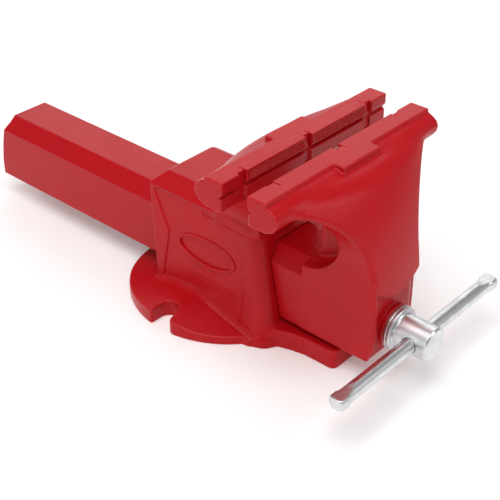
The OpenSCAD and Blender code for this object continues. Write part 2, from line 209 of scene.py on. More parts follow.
def surface(field, xs, ys, zs):
    """Vertices, quads and normals of the field's zero surface."""
    grid = field(
        xs[:, None, None].astype(np.float32),
        ys[None, :, None].astype(np.float32),
        zs[None, None, :].astype(np.float32),
    )
    grid = np.broadcast_to(grid, (len(xs), len(ys), len(zs))).astype(np.float32)
    solid = grid < 0
    corners = [(i, j, k) for i in (0, 1) for j in (0, 1) for k in (0, 1)]

    def shifted(offset):
        i, j, k = offset
        return solid[
            i : len(xs) - 1 + i, j : len(ys) - 1 + j, k : len(zs) - 1 + k
        ]

    count = sum(shifted(c).astype(np.int8) for c in corners)
    mixed = (count > 0) & (count < 8)
    ci, cj, ck = np.nonzero(mixed)
    number = np.full(mixed.shape, -1, np.int32)
    number[mixed] = np.arange(len(ci))

    total = np.zeros((len(ci), 3))
    hits = np.zeros(len(ci))
    for a in corners:
        for direction in range(3):
            if a[direction]:
                continue
            b = list(a)
            b[direction] = 1
            ia, ja, ka = ci + a[0], cj + a[1], ck + a[2]
            ib, jb, kb = ci + b[0], cj + b[1], ck + b[2]
            fa, fb = grid[ia, ja, ka], grid[ib, jb, kb]
            cross = (fa < 0) != (fb < 0)
            t = np.where(cross, fa / np.where(cross, fa - fb, 1), 0)[:, None]
            pa = np.stack([xs[ia], ys[ja], zs[ka]], 1)
            pb = np.stack([xs[ib], ys[jb], zs[kb]], 1)
            total += np.where(cross[:, None], pa + t * (pb - pa), 0)
            hits += cross
    verts = total / hits[:, None]

    quads = []
    for direction in range(3):
        u, v = [d for d in range(3) if d != direction]
        lo = [slice(1, -1)] * 3
        lo[direction] = slice(0, -1)
        hi = list(lo)
        hi[direction] = slice(1, None)
        a, b = solid[tuple(lo)], solid[tuple(hi)]
        at = np.stack(np.nonzero(a != b), 1)
        at[:, u] += 1
        at[:, v] += 1
        inward = a[tuple((at - np.array([d != direction for d in range(3)])).T)]
        ring = []
        for du, dv in ((-1, -1), (0, -1), (0, 0), (-1, 0)):
            cell = at.copy()
            cell[:, u] += du
            cell[:, v] += dv
            ring.append(number[tuple(cell.T)])
        ring = np.stack(ring, 1)
        turn = inward if direction != 1 else ~inward
        quads.append(np.where(turn[:, None], ring, ring[:, ::-1]))
    quads = np.concatenate(quads)

    def slope(p):
        out = np.empty_like(p)
        for d in range(3):
            step = np.zeros(3)
            step[d] = PROBE
            hi, lo = p + step, p - step
            out[:, d] = (field(*hi.T) - field(*lo.T)) / (2 * PROBE)
        return out

    # Pull the vertices onto the surface, each time by less than half a cell
    reach = 0.4 * min(np.diff(axis_values).min() for axis_values in (xs, ys, zs))
    for _ in range(PULLS):
        g = slope(verts)
        size = np.maximum((g * g).sum(1), 0.2)
        move = g * (field(*verts.T) / size)[:, None]
        length = np.maximum(np.linalg.norm(move, axis=1), 1e-9)
        verts -= move * np.minimum(1, reach / length)[:, None]
    g = slope(verts)
    normals = g / np.maximum(np.linalg.norm(g, axis=1), 1e-9)[:, None]
    return verts, quads, normals


def piece(name, verts, faces, body, slot, *nodes, smooth=True, normals=None):
    """A new mesh piece from vertices in millimetres, riding on a CAD body in place of its nodes."""
    mesh = bpy.data.meshes.new(name)
    verts = np.asarray(verts, dtype=np.float64) * MM
    if isinstance(faces, np.ndarray):
        width = faces.shape[1]
        mesh.vertices.add(len(verts))
        mesh.vertices.foreach_set("co", verts.ravel())
        mesh.loops.add(faces.size)
        mesh.loops.foreach_set("vertex_index", faces.ravel().astype(np.int32))
        mesh.polygons.add(len(faces))
        mesh.polygons.foreach_set(
            "loop_start", np.arange(0, faces.size, width, dtype=np.int32)
        )
        mesh.update(calc_edges=True)
        mesh.validate()
    else:
        mesh.from_pydata([tuple(v) for v in verts], [], [tuple(f) for f in faces])
        mesh.update()
    mesh.polygons.foreach_set("use_smooth", [smooth] * len(mesh.polygons))
    if normals is not None:
        mesh.normals_split_custom_set_from_vertices([tuple(n) for n in normals])
    obj = bpy.data.objects.new(name, mesh)
    bpy.context.scene.collection.objects.link(obj)
    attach(obj, body)
    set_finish(obj, slot)
    if nodes:
        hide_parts(*nodes)
    return obj


def field_piece(name, field, axes, body, slot, *nodes):
    """A piece meshed from its distance field on a grid of three axes."""
    verts, quads, normals = surface(field, *axes)
    return piece(name, verts, quads, body, slot, *nodes, normals=normals)


# ---------- jaw head, shared by both castings ----------
# d is the distance behind the gripping face and h the height from the jaw's top.

# Thickness of the flat strip on top, and the height of the apron's foot
STRIP = 13
SKIRT = -79
# Section of the bar along the top: strip, small step and rounded nose
HEAD_BAR = [
    (-4, 5), (STRIP, 5), (STRIP + 0.2, -2.4), (STRIP + 3.5, -3.8), (STRIP + 6.5, -5.8),
    (STRIP + 8, -9), (STRIP + 7.4, -12.4), (STRIP + 4.8, -16.2), (STRIP, -18.5),
    (6, -19.1), (-4, -18.2),
]
BAR_EDGE = 0.9
# Arches under the wings, and the round of their edge
ARCH_R = 47.5
ARCH_H = -60
ARCH_EDGE = 3.6
# The apron is an arc of radius APRON_R turned about a vertical axis APRON_AXIS behind the face
APRON_R = 135.8
APRON_AXIS = 120
APRON_OUT = APRON_AXIS - 83.6
APRON_H = -79.9
# Its top edge starts just under the strip and falls away, with a soft shoulder
APRON_START = 2.6
APRON_FALL = math.radians(15)
APRON_SHOULDER = 5
APRON_BLEND = 2.5
# Square tab at the middle of the top
TAB_HALF = 17
TAB_OUT = 7
TAB_DEPTH = 12
# Grooves beside the plates, how far they run below them, and the plates
GROOVE_HALF = 3
GROOVE_BELOW = 8
REAR_GROOVE = 2.2
FRONT_GROOVE = 1.0
PLATE_END = 54
PLATE_H = 10
PLATE_T = 6
# Height of the flat gripping face, and the profile cut away below it
FACE_FLAT = 6.8
UNDERCUT = [
    (0, -FACE_FLAT), (2.4, -PLATE_H), (0.7, -PLATE_H - 0.8), (0.7, -26), (-6, -26),
    (-6, -FACE_FLAT),
]
# How far the castings' tops lie below the plates' tops
SEAM = 0.05
# Spacing and depth of the serrations, and the plain borders at the plate's ends and top
TOOTH = 1.7
TOOTH_DEPTH = 0.5
END_BORDER = 1.8
TOP_BORDER = 1.3


def jaw_head(x, d, h, leg, skirt):
    """One jaw without its gripping face: the bar, the apron under it and the tab on top."""
    a = np.abs(x)
    bar = outline(d, h, HEAD_BAR, BAR_EDGE)
    apron = np.hypot(np.hypot(x, d + APRON_AXIS) - APRON_OUT, h - APRON_H) - APRON_R
    fall = (h + APRON_START) * math.cos(APRON_FALL) + (d - STRIP) * math.sin(APRON_FALL)
    apron = soften(apron, fall, APRON_SHOULDER)
    arch = np.where(
        h > ARCH_H, ARCH_R - np.hypot(a - leg - ARCH_R, h - ARCH_H), a - leg
    )
    apron = common(apron, arch, ARCH_EDGE)
    apron = common(apron, -1 - d, 0.5)
    apron = common(apron, skirt - h, 1.2)
    head = join(bar, apron, APRON_BLEND)
    tab = brick(x, d, h, (-TAB_HALF, 8, -TAB_DEPTH), (TAB_HALF, STRIP + TAB_OUT, 5), 1)
    head = join(head, tab, 1.2)
    head = common(head, h + SEAM, 0.9)
    head = common(head, -d, 0.6)
    return common(head, a - JAW_HALF, 0.8)


def face_cuts(f, x, d, h, groove_depth):
    """The plates' seats, the undercut below them and the grooves between them."""
    a = np.abs(x)
    seat = brick(
        x, d, h, (-PLATE_END, -5, -PLATE_H), (PLATE_END, PLATE_T, 5), 0.1
    )
    f = cut(f, seat, 0.15)
    rib = brick(
        a, d, h, (-1, 2.6, -PLATE_H - 1), (GROOVE_HALF - 0.1, PLATE_T + 1, 5), 0.3
    )
    f = np.minimum(f, common(rib, h + SEAM, 0.4))
    f = cut(f, outline(d, h, UNDERCUT, 0.3), 0.5)
    for groove in (a, np.abs(a - PLATE_END - GROOVE_HALF)):
        slot = brick(
            groove, d, h, (-GROOVE_HALF, -5, -PLATE_H - GROOVE_BELOW),
            (GROOVE_HALF - 0.1, groove_depth, 5), 0.4
        )
        f = cut(f, slot, 0.3)
    return f


def jaw_plate(x, d, h, side):
    """One plate, with a pad of crossed serrations on its gripping face."""
    x, d, h = (np.asarray(t) for t in (x, d, h))
    # Its top falls to the casting's just behind the seat, so that no seam shows
    top = h + 0.6 * SEAM * np.maximum(d - PLATE_T + 1, 0)
    f = common(slab(d, 0, PLATE_T + 2), np.maximum(top, -PLATE_H - h), 0.4)
    f = common(f, slab(x * side, GROOVE_HALF - 0.05, PLATE_END), 0.3)
    f = common(f, -outline(d, h, UNDERCUT, 0.1), 0.3)
    middle = side * (GROOVE_HALF + PLATE_END) / 2
    half = (PLATE_END - GROOVE_HALF) / 2 - END_BORDER
    inside = np.maximum(np.abs(x - middle) - half, slab(h, -FACE_FLAT - 1, -TOP_BORDER))
    rows = np.minimum(
        np.abs((x + h) % TOOTH - TOOTH / 2), np.abs((x - h) % TOOTH - TOOTH / 2)
    )
    teeth = np.maximum((rows + d - TOOTH_DEPTH) * 0.6, inside)
    return np.maximum(f, -teeth)


# ---------- fixed body ----------

# Half widths and heights of the body at its foot, shoulder and crown
BODY_HALF = 37
SHOULDER_H = 76.5
CROWN_HALF = 20.5
CROWN_H = 83.5
# Round base: thickness, radius, thickness of its rim, and the bolt slots
BASE_T = 13
BASE_R = 67
RIM_T = 4.5
SLOT_X = 58
SLOT_R = 7
# Middle of the nut's bolt
NUT_MID = -29
# How steeply the base's front lobe and rear fall away, lengthwise and sideways
FRONT_FALL = (BASE_T - RIM_T) / 49
REAR_FALL = (BASE_T - RIM_T) / (BASE_R - SLOT_R - 5)
LOBE_SIDE_FALL = 0.21
REAR_SIDE_FALL = 0.09
# Two points of the body's front from the side, and the round where it meets the sides
BODY_FRONT = ((-51.2, 76), (-61.7, 25))
FRONT_ROUND = 9
# The body's rear wall from the side, and how far the sides lean in
REAR_WALL = [(31, 13), (41, SHOULDER_H), (34, CROWN_H)]
LEAN = (BODY_HALF - SHOULDER_HALF) / (SHOULDER_H - BASE_T)
# The flare's rear end, its top there, how much higher it starts in front, and its spread
FLARE_REAR = 30
FLARE_TOP = 14
FLARE_RISE = 14
FLARE_OUT = 2.6
# Its pointed foot from above
FOOT = [(30, -30), (44.6, -46), (43.6, -54.6), (36, -63), (30, -63)]
# Depths below the wall of the side panels, the groove above them and the badge's field
PANEL_DEPTH = 1.1
GROOVE_DEPTH = 1.6
FIELD_DEPTH = 1.8
# The groove above the panels: middle, half length, height and half width
GROOVE_Y, GROOVE_LENGTH, GROOVE_Z, GROOVE_R = -16.5, 10, 71.6, 1.2
# Height of the apron's foot, and the hollow under the gripping face: middle and radius
REAR_SKIRT = -62
THROAT = (-93, 86, 42)
# The nut's bore and spigot hole in the floor of the body
NUT_BORE_R = 14
SPIGOT_HOLE_R = 11.05
# Section of the body, the outline of its side panel, and the tongue from above
TRUNK = [
    (-60, -8), (BODY_HALF, -8), (BODY_HALF, BASE_T), (SHOULDER_HALF, SHOULDER_H),
    (CROWN_HALF, CROWN_H), (-60, CROWN_H),
]
PANEL = [
    (38, 75), (34, 68.4), (21.9, 48.2), (25, 20), (25, 0), (-43.2, 0), (-43.4, 29.5),
    (-41.2, 53.5), (-34, 68), (-29, 75),
]
TONGUE = [
    (-20, -40), (39, -40), (36.5, -57), (31.8, -67), (28.6, -77), (26.6, -86),
    (26.2, -109), (-20, -109),
]
# Middle and half axes of the oval badge, half the width of its rim and how deep that reaches
BADGE_Y, BADGE_Z = -10.5, 45.3
BADGE_A, BADGE_B = 23.7, 9
BADGE_RIM = 1.0
BADGE_SINK = 2.6


def badge_distance(y, z):
    """Distance to the oval badge's border, which is longer towards its ends."""
    u, v = (y - BADGE_Y) / BADGE_A, (z - BADGE_Z) / BADGE_B
    k = np.maximum(np.hypot(u, v), 1e-3)
    return (k - 1) * k / np.maximum(np.hypot(u / BADGE_A, v / BADGE_B), 1e-4)


def slide_outline(x, z, grow, r):
    """Section of the slide bar, made larger by grow, with its edges rounded to radius r."""
    a = np.abs(x)
    h = SLIDE_HALF + grow
    top = SLIDE_TOP + grow
    b = SLIDE_BEVEL + 0.6 * grow
    points = [
        (-40, SLIDE_BOTTOM - grow), (h, SLIDE_BOTTOM - grow), (h, top - b), (h - b, top),
        (-40, top),
    ]
    return outline(a, z, points, r)


def trunk(x, y, z):
    """The body above its base, with the side panels and the badge's field."""
    a = np.abs(x)
    f = outline(a, z, TRUNK, 2.0)
    rear = half_plane(y, z, *REAR_WALL[:2])
    rear = common(rear, half_plane(y, z, *REAR_WALL[1:]), 1.5)
    f = common(f, rear, 1.3)
    f = common(f, half_plane(y, z, *BODY_FRONT), FRONT_ROUND)
    # Side panels, set in, with a soft border
    wall = (a - BODY_HALF + (z - BASE_T) * LEAN) / math.hypot(1, LEAN)
    panel = common(outline(y, z, PANEL, 3), -(wall + PANEL_DEPTH), 0.8)
    f = cut(f, panel, 0.6)
    along = np.maximum(np.abs(y - GROOVE_Y) - GROOVE_LENGTH, 0)
    groove = np.hypot(along, z - GROOVE_Z) - GROOVE_R
    f = cut(f, np.maximum(groove, -(wall + GROOVE_DEPTH)), 0.3)
    # Shallow oval field inside the badge's rim
    return cut(f, common(badge_distance(y, z) + 0.2, -(wall + FIELD_DEPTH), 0.3), 0.2)


def badge_rim(x, y, z):
    """The raised rim of the blank oval badge on the body's side."""
    x, y, z = (np.asarray(t) for t in (x, y, z))
    wall = (np.abs(x) - BODY_HALF + (z - BASE_T) * LEAN) / math.hypot(1, LEAN)
    rim = common(np.abs(badge_distance(y, z)) - BADGE_RIM, wall + 0.2, 0.6)
    return np.maximum(rim, -wall - BADGE_SINK)


def flare(x, y, z):
    """The skirt that spreads from the body's foot, wider towards the front."""
    a = np.abs(x)
    along = np.clip((FLARE_REAR - 1 - y) / 83, 0, 1)
    top = FLARE_TOP + FLARE_RISE * along
    low = BASE_T - 8 * np.clip((-15 - y) / 39, 0, 1)
    rise = np.clip((top - z) / (top - low), 0, 1) ** 1.4
    out = -3 + (3 + FLARE_OUT * along**2) * rise
    # Divided by its steepest slope, so that it stays a distance
    f = (a - BODY_HALF + (z - BASE_T) * LEAN - out) / 1.08
    f = common(f, half_plane(y, z, *BODY_FRONT) + FLARE_OUT - 3 * rise, FRONT_ROUND)
    f = common(f, slab(z, -8, FLARE_TOP + FLARE_RISE + 1), 1)
    return common(f, y - FLARE_REAR, 2)


def base_top(x, y, z):
    """Height above the base, which falls away outwards, forwards and backwards to a thin rim."""
    a = np.abs(x)
    out = np.maximum(a - BODY_HALF - 2, 0)
    rear = z - BASE_T + np.maximum(y - SLOT_R - 5, 0) * REAR_FALL + out * REAR_SIDE_FALL
    lobe = z - BASE_T + out * LOBE_SIDE_FALL - (y + 15) * FRONT_FALL
    blend = np.clip((8 - y) / 36, 0, 1)
    return (rear + (lobe - rear) * blend * blend * (3 - 2 * blend)) * 0.96


def base(x, y, z):
    """The round base with its bolt slots, the foot of the flare and the tongue in front."""
    a = np.abs(x)
    disc = np.hypot(x, y) - BASE_R
    slot = np.where(a > SLOT_X, np.abs(y), np.hypot(a - SLOT_X, y)) - SLOT_R
    mouth = np.where(y > 0, 1.5, 4.5)
    disc = cut(disc, slot, mouth)
    top = base_top(x, y, z)
    disc = common(disc, top, 1)
    foot = common(outline(a, y, FOOT, 2.5), top, 1)
    tongue = outline(a, y, TONGUE, 4)
    bench = soften(z - BASE_T, (z - BASE_T + (a - 29) * 0.3) * 0.958, 0.5)
    tongue = common(tongue, bench, 1)
    return join(np.minimum(disc, foot), tongue, 4)


def ridge_scoop(wall, x, y, z):
    """A hollow along the foot of the wall that leaves a ridge where the lobe's top begins."""
    depth = 0.25 * np.clip((-8 - y) / 16, 0, 1)
    radius = 2.4
    hollow = np.hypot(wall - radius, base_top(x, y, z) - radius + depth) - radius
    near = np.maximum(wall - 2 * radius - 2, np.abs(y + 35) - 26)
    return np.maximum(hollow, np.maximum(near, BODY_HALF - 2 - np.abs(x)))


def fixed_body(x, y, z):
    x, y, z = (np.asarray(t) for t in (x, y, z))
    f = trunk(x, y, z)
    f = join(f, flare(x, y, z), 3)
    scoop = ridge_scoop(f, x, y, z)
    f = join(f, base(x, y, z), 2.5)
    f = np.maximum(f, -scoop)
    d, h = y - REAR_FACE, z - JAW_TOP
    head = jaw_head(x, d, h, SHOULDER_HALF, REAR_SKIRT)
    throat = np.maximum(tube(y, z, *THROAT), z - (JAW_TOP - 19.5))
    head = cut(head, throat, 1.5)
    head = common(head, SHOULDER_H - 6 - z, 1)
    f = join(f, head, 4)
    f = cut(f, slide_outline(x, z, 0.3, 1.2), 1.0)
    f = face_cuts(f, x, d, h, REAR_GROOVE)
    bore = tube(x, y, 0, NUT_MID, NUT_BORE_R)
    f = cut(f, np.maximum(bore, z - 9.5), 0.6)
    spigot = tube(x, y, 0, NUT_MID, SPIGOT_HOLE_R)
    f = np.maximum(f, -np.maximum(spigot, slab(z, 5, 20)))
    return common(f, -z, 0.7)


# ---------- sliding jaw ----------

# The slide bar and the leg from the side
SLIDE_END = [
    (-160, 8), (208.4, 8), (208.4, 24), (208, 30), (206, 42), (203.2, 53), (200.6, 60),
    (199.2, 72), (-160, 72),
]
LEG_SIDE = [
    (-120, 8), (-131.2, 8), (-130.3, 15.9), (-131.2, 19), (-133.6, 26), (LEG_FRONT, 34),
    (LEG_FRONT, 57), (-132.9, 65.5), (-131.6, 72), (-129.8, 78), (-118, 100), (-84.8, 117),
    (-84.8, 76), (-78.6, 62), (-78.6, 14),
]
# Scoops beside the web under the gripping face: radius, middle behind the face and below the top
SCOOP_R = 28.5
SCOOP_BACK = 3.7
SCOOP_DOWN = 43
WEB_HALF = 10
# Channel inside the bar, and the back of the wall in front of it
CHANNEL_HALF = 13.3
CHANNEL_TOP = 50
WALL_BACK = -112
# The screw's boss, its bore and its recess
BOSS_R = 14
SCREW_BORE_R = 10.1
RECESS_DEPTH = 4.6
# The leg's clipped corner, across and along
CLIP_X, CLIP_Y = 9.7, 9


def skirt_height(x):
    """Height of the apron's foot: a shallow tongue that is lowest in the middle."""
    a = np.abs(x)
    return SKIRT + 1 + 7 * np.clip((a - 3) / 18, 0, 1) ** 1.3


def sliding_jaw(x, y, z):
    x, y, z = (np.asarray(t) for t in (x, y, z))
    d, h = FRONT_FACE - y, z - JAW_TOP
    head = jaw_head(x, d, h, SLIDE_HALF, skirt_height(x))
    leg = common(outline(y, z, LEG_SIDE[::-1], 1.5), np.abs(x) - SLIDE_HALF, 1.6)
    # Recess under the skirt, round the screw's boss
    recess = brick(
        x, y, z, (-SLIDE_HALF + 2, -150, -10),
        (SLIDE_HALF - 2, LEG_FRONT + RECESS_DEPTH, JAW_TOP + SKIRT + 12), 1.5
    )
    boss = common(tube(x, z, 0, SCREW_Z, BOSS_R), LEG_FRONT + 1 - y, 1)
    recess = cut(recess, boss, 1)
    leg = cut(leg, recess, 0.8)
    # The front right corner is clipped
    clip = half_plane(
        x, y, (SLIDE_HALF - CLIP_X, LEG_FRONT), (SLIDE_HALF, LEG_FRONT + CLIP_Y)
    )
    leg = common(leg, clip, 2)
    f = np.minimum(head, leg)
    scoop = common(
        tube(y, z, FRONT_FACE + SCOOP_BACK, JAW_TOP - SCOOP_DOWN, SCOOP_R),
        WEB_HALF - np.abs(x), 3,
    )
    scoop = np.maximum(scoop, slab(z, SLIDE_TOP - 1, JAW_TOP - 18.9))
    f = cut(f, scoop, 1.2)
    bar = common(slide_outline(x, z, 0, 1.5), outline(y, z, SLIDE_END[::-1], 2.2), 1.2)
    bar = np.maximum(bar, LEG_FRONT + 6 - y)
    f = np.minimum(f, bar)
    f = common(f, SLIDE_BOTTOM - z, 0.8)
    channel = brick(
        x, y, z, (-CHANNEL_HALF, WALL_BACK, -10), (CHANNEL_HALF, 300, CHANNEL_TOP), 1.5
    )
    f = cut(f, channel, 0.8)
    f = cut(f, np.maximum(tube(x, z, 0, SCREW_Z, SCREW_BORE_R), y + 100), 0.4)
    return face_cuts(f, x, d, h, FRONT_GROOVE)


# ---------- screw, handle and fasteners ----------

HEAD_END = SCREW_LO[1]
THREAD_END = SCREW_HI[1]
WASHER_LO, WASHER_HI = box_mm("thrust_washer")
KEEPER_LO, KEEPER_HI = box_mm("retaining_washer")
PIN_LO, PIN_HI = box_mm("retaining_pin")
NUT_LO, NUT_HI = box_mm("spindle_nut")
BOLT_LO, BOLT_HI = box_mm("nut_bolt")
BOLT_WASHER_LO, BOLT_WASHER_HI = box_mm("nut_bolt_washer")
# Radii along the screw, and the thread's pitch
HEAD_R = 11
JOURNAL_R = 10
THREAD_R = 9.8
ROOT_R = 7
PITCH = 6
FLANGE_R = (WASHER_HI[0] - WASHER_LO[0]) / 2
FLANGE_BACK = WASHER_LO[1]
FLANGE_T = 2.5
# Bar handle, with the length and half height of its pressed ends
BAR_R = 4.75
BAR_HALF = BAR_HI[0]
BAR_END = 9
BAR_END_FLAT = 3.6
# Spring and keeper washer
SPRING_R = 11.3
WIRE_R = 1.1
SPRING_TURNS = 2
KEEPER_R = 12.6
# Nut, bolt and washer
BOLT_R = 5
BOLT_FLATS = 8.5
BOLT_WASHER_R = 13
SPIGOT_R = 11
CROSS_PIN_R = 2


def turned(x, y, z, profile, r=0.25):
    """A solid turned about the screw's axis; the profile lists (y, radius) from front to back."""
    points = [(profile[0][0], -5), *profile, (profile[-1][0], -5)]
    return outline(y, np.hypot(x, z - SCREW_Z), points, r)


def washer(x, y, z, r, bore, y0, y1, edge):
    """A ring on the screw from y0 to y1."""
    ring = common(tube(x, z, 0, SCREW_Z, r), slab(y, y0, y1), edge)
    return cut(ring, tube(x, z, 0, SCREW_Z, bore), 0.3)


def spindle(x, y, z):
    x, y, z = (np.asarray(t) for t in (x, y, z))
    profile = [
        (HEAD_END, HEAD_R - 1.3), (HEAD_END + 1.1, HEAD_R),
        (FLANGE_BACK - FLANGE_T - 0.6, HEAD_R), (FLANGE_BACK - FLANGE_T, HEAD_R + 0.7),
        (FLANGE_BACK - FLANGE_T, FLANGE_R - 0.5), (FLANGE_BACK - FLANGE_T + 0.5, FLANGE_R),
        (FLANGE_BACK, FLANGE_R), (FLANGE_BACK, JOURNAL_R), (WALL_BACK + 14, JOURNAL_R),
        (WALL_BACK + 16.5, ROOT_R), (THREAD_END - 1.5, ROOT_R), (THREAD_END, ROOT_R - 1.5),
    ]
    f = turned(x, y, z, profile, 0.2)
    # Trapezoidal right-hand thread
    radius = np.hypot(x, z - SCREW_Z)
    turn = np.arctan2(x, z - SCREW_Z) / (2 * math.pi)
    along = np.abs((y / PITCH - turn + 0.5) % 1 - 0.5) * PITCH
    ridge = (along - 1.1 - (THREAD_R - radius) * 0.27) * 0.96
    ridge = common(ridge, radius - THREAD_R, 0.2)
    ends = slab(y, WALL_BACK + 15, THREAD_END)
    ends = np.maximum(ends, (radius - THREAD_R + (y - THREAD_END + 3)) * 0.7)
    f = join(f, common(ridge, ends, 0.2), 0.3)
    return cut(f, tube(y, z, BAR_Y, SCREW_Z, BAR_R + 0.12), 0.55)


def spring(x, y, z):
    """A short coil of round wire between the front wall and the retaining washer."""
    x, y, z = (np.asarray(t) for t in (x, y, z))
    radius = np.hypot(x, z - SCREW_Z)
    turn = np.arctan2(x, z - SCREW_Z) / (2 * math.pi)
    start, end = WALL_BACK + WIRE_R + 0.1, KEEPER_LO[1] - WIRE_R - 0.1
    best = np.inf
    for k in range(-1, SPRING_TURNS + 1):
        along = np.clip(turn + k, 0, SPRING_TURNS)
        middle = start + (end - start) * along / SPRING_TURNS
        past = (turn + k - along) * 2 * math.pi * SPRING_R
        best = np.minimum(
            best, np.sqrt((radius - SPRING_R) ** 2 + (y - middle) ** 2 + past**2)
        )
    return best - WIRE_R


def handle(x, y, z):
    """The sliding bar: round, with its ends pressed flat above and below and spread sideways."""
    x, y, z = (np.asarray(t) for t in (x, y, z))
    a = np.abs(x)
    radius = np.hypot(y - BAR_Y, z - SCREW_Z)
    spread = 0.85 * np.clip((a - BAR_HALF + BAR_END) / 3, 0, 1) ** 1.5
    f = (radius - BAR_R - spread) * 0.97
    chamfer = (a - BAR_HALF + 0.9 * (radius - 4.1)) * 0.74
    f = common(f, chamfer, 0.3)
    f = common(f, a - BAR_HALF, 0.3)
    # The pressed faces fade out in a curve away from the end
    fade = np.maximum(BAR_HALF - BAR_END - a, 0)
    return common(f, np.abs(z - SCREW_Z) - BAR_END_FLAT - fade**2 / 50, 0.35)


def nut(x, y, z):
    x, y, z = (np.asarray(t) for t in (x, y, z))
    block = brick(x, y, z, (NUT_LO[0], NUT_LO[1], 15.5), NUT_HI, 1.2)
    spigot = common(tube(x, y, 0, NUT_MID, SPIGOT_R), slab(z, NUT_LO[2], 20), 0.6)
    f = np.minimum(block, spigot)
    f = cut(f, tube(x, z, 0, SCREW_Z, THREAD_R + 0.1), 0.9)
    return np.maximum(f, -tube(x, y, 0, NUT_MID, BOLT_R + 0.05) - np.maximum(z - 19, 0))


def hex_bolt(x, y, z):
    """Hexagon bolt under the body, head down, with its corners chamfered."""
    x, y, z = (np.asarray(t) for t in (x, y, z))
    dy = y - NUT_MID
    head_top = BOLT_WASHER_LO[2]
    flats = np.abs(dy)
    for angle in (math.radians(30), math.radians(-30)):
        flats = np.maximum(flats, np.abs(x * math.cos(angle) + dy * math.sin(angle)))
    radius = np.hypot(x, dy)
    head = common(flats - BOLT_FLATS, slab(z, BOLT_LO[2], head_top), 0.25)
    head = common(head, (radius - 8.3 - (z - BOLT_LO[2]) * 1.7) * 0.5, 0.2)
    shank = common(radius - BOLT_R, slab(z, BOLT_LO[2] + 2, BOLT_HI[2]), 0.5)
    return np.minimum(head, shank)


def bolt_washer(x, y, z):
    x, y, z = (np.asarray(t) for t in (x, y, z))
    f = tube(x, y, 0, NUT_MID, BOLT_WASHER_R)
    f = common(f, slab(z, BOLT_WASHER_LO[2], BOLT_WASHER_HI[2]), 0.4)
    return cut(f, tube(x, y, 0, NUT_MID, BOLT_R + 0.25), 0.3)


def cross_pin(x, y, z):
    x, y, z = (np.asarray(t) for t in (x, y, z))
    middle = (PIN_LO[1] + PIN_HI[1]) / 2
    return common(tube(x, y, 0, middle, CROSS_PIN_R), slab(z, PIN_LO[2], PIN_HI[2]), 0.5)


# ---------- the pieces ----------

# Mesh sizes of the castings, the small pieces and the serrated plates
STEP = 0.9
FINE = 0.45
TOOTH_STEP = 0.3


def around(node, step, margin=1.3):
    """Grid axes that reach a little past a CAD node's box."""
    lo, hi = box_mm(node)
    return [axis(a - margin, b + margin, step) for a, b in zip(lo, hi)]


field_piece(
    "body_casting",
    fixed_body,
    (
        axis(-77, 77, STEP, [(-38, STEP / 2), (-29, STEP), (29, STEP / 2), (38, STEP)]),
        axis(-111.5, 69.5, STEP),
        axis(-2, 136, STEP, [(69, STEP / 2), (75, STEP)]),
    ),
    "body",
    "paint",
    "fixed_body",
)
field_piece(
    "front_jaw_casting",
    sliding_jaw,
    (
        axis(-77, 77, STEP),
        axis(-137, 211, STEP, [(-52, 5), (194, STEP)]),
        axis(13, 136, STEP),
    ),
    "front_jaw",
    "paint",
    "sliding_jaw",
)
for side, sign in (("left", -1), ("right", 1)):
    field_piece(
        side + "_badge_rim",
        badge_rim,
        (
            axis(*sorted((sign * 30, sign * 36)), 0.4),
            axis(BADGE_Y - BADGE_A - 2, BADGE_Y + BADGE_A + 2, FINE),
            axis(BADGE_Z - BADGE_B - 2, BADGE_Z + BADGE_B + 2, FINE),
        ),
        "body",
        "paint",
    )
    node = "rear_jaw_plate_" + side
    field_piece(
        node.replace("jaw_plate", "serrated_plate"),
        lambda x, y, z, sign=sign: jaw_plate(x, y - REAR_FACE, z - JAW_TOP, sign),
        around(node, TOOTH_STEP),
        "body",
        "plate_paint",
        node,
    )
    node = "front_jaw_plate_" + side
    field_piece(
        node.replace("jaw_plate", "serrated_plate"),
        lambda x, y, z, sign=sign: jaw_plate(x, FRONT_FACE - y, z - JAW_TOP, sign),
        around(node, TOOTH_STEP),
        "front_jaw",
        "plate_paint",
        node,
    )
head_back = FLANGE_BACK + 3
field_piece(
    "screw",
    spindle,
    (
        axis(-15.5, 15.5, FINE),
        axis(HEAD_END - 1.3, THREAD_END + 1.3, FINE, [(head_back, 2.5), (WALL_BACK + 12, 0.7)]),
        axis(SCREW_Z - 15.5, SCREW_Z + 15.5, FINE),
    ),
    "screw",
    "zinc",
    "spindle",
)
field_piece(
    "flange_washer",
    lambda x, y, z: washer(x, y, z, FLANGE_R, JOURNAL_R + 0.3, WASHER_LO[1], WASHER_HI[1], 0.4),
    around("thrust_washer", FINE),
    "screw",
    "zinc",
    "thrust_washer",
)
field_piece(
    "keeper_washer",
    lambda x, y, z: washer(x, y, z, KEEPER_R, JOURNAL_R + 0.3, KEEPER_LO[1], KEEPER_HI[1], 0.4),
    around("retaining_washer", FINE),
    "screw",
    "zinc",
    "retaining_washer",
)
field_piece(
    "coil_spring", spring, around("anti_rattle_spring", FINE), "screw",
    "steel", "anti_rattle_spring",
)
field_piece(
    "cross_pin", cross_pin, around("retaining_pin", FINE), "screw", "steel", "retaining_pin"
)
field_piece(
    "bar_handle",
    handle,
    (
        axis(-BAR_HALF - 1.3, BAR_HALF + 1.3, FINE, [(-BAR_HALF + 22, 3), (BAR_HALF - 22, FINE)]),
        axis(BAR_Y - 7, BAR_Y + 7, FINE),
        axis(SCREW_Z - 7, SCREW_Z + 7, FINE),
    ),
    "handle",
    "zinc",
    "tommy_bar",
)
field_piece("screw_nut", nut, around("spindle_nut", FINE * 1.3), "body", "steel", "spindle_nut")
field_piece("hex_bolt", hex_bolt, around("nut_bolt", FINE), "body", "zinc", "nut_bolt")
field_piece(
    "hex_bolt_washer", bolt_washer, around("nut_bolt_washer", FINE), "body", "zinc",
    "nut_bolt_washer",
)


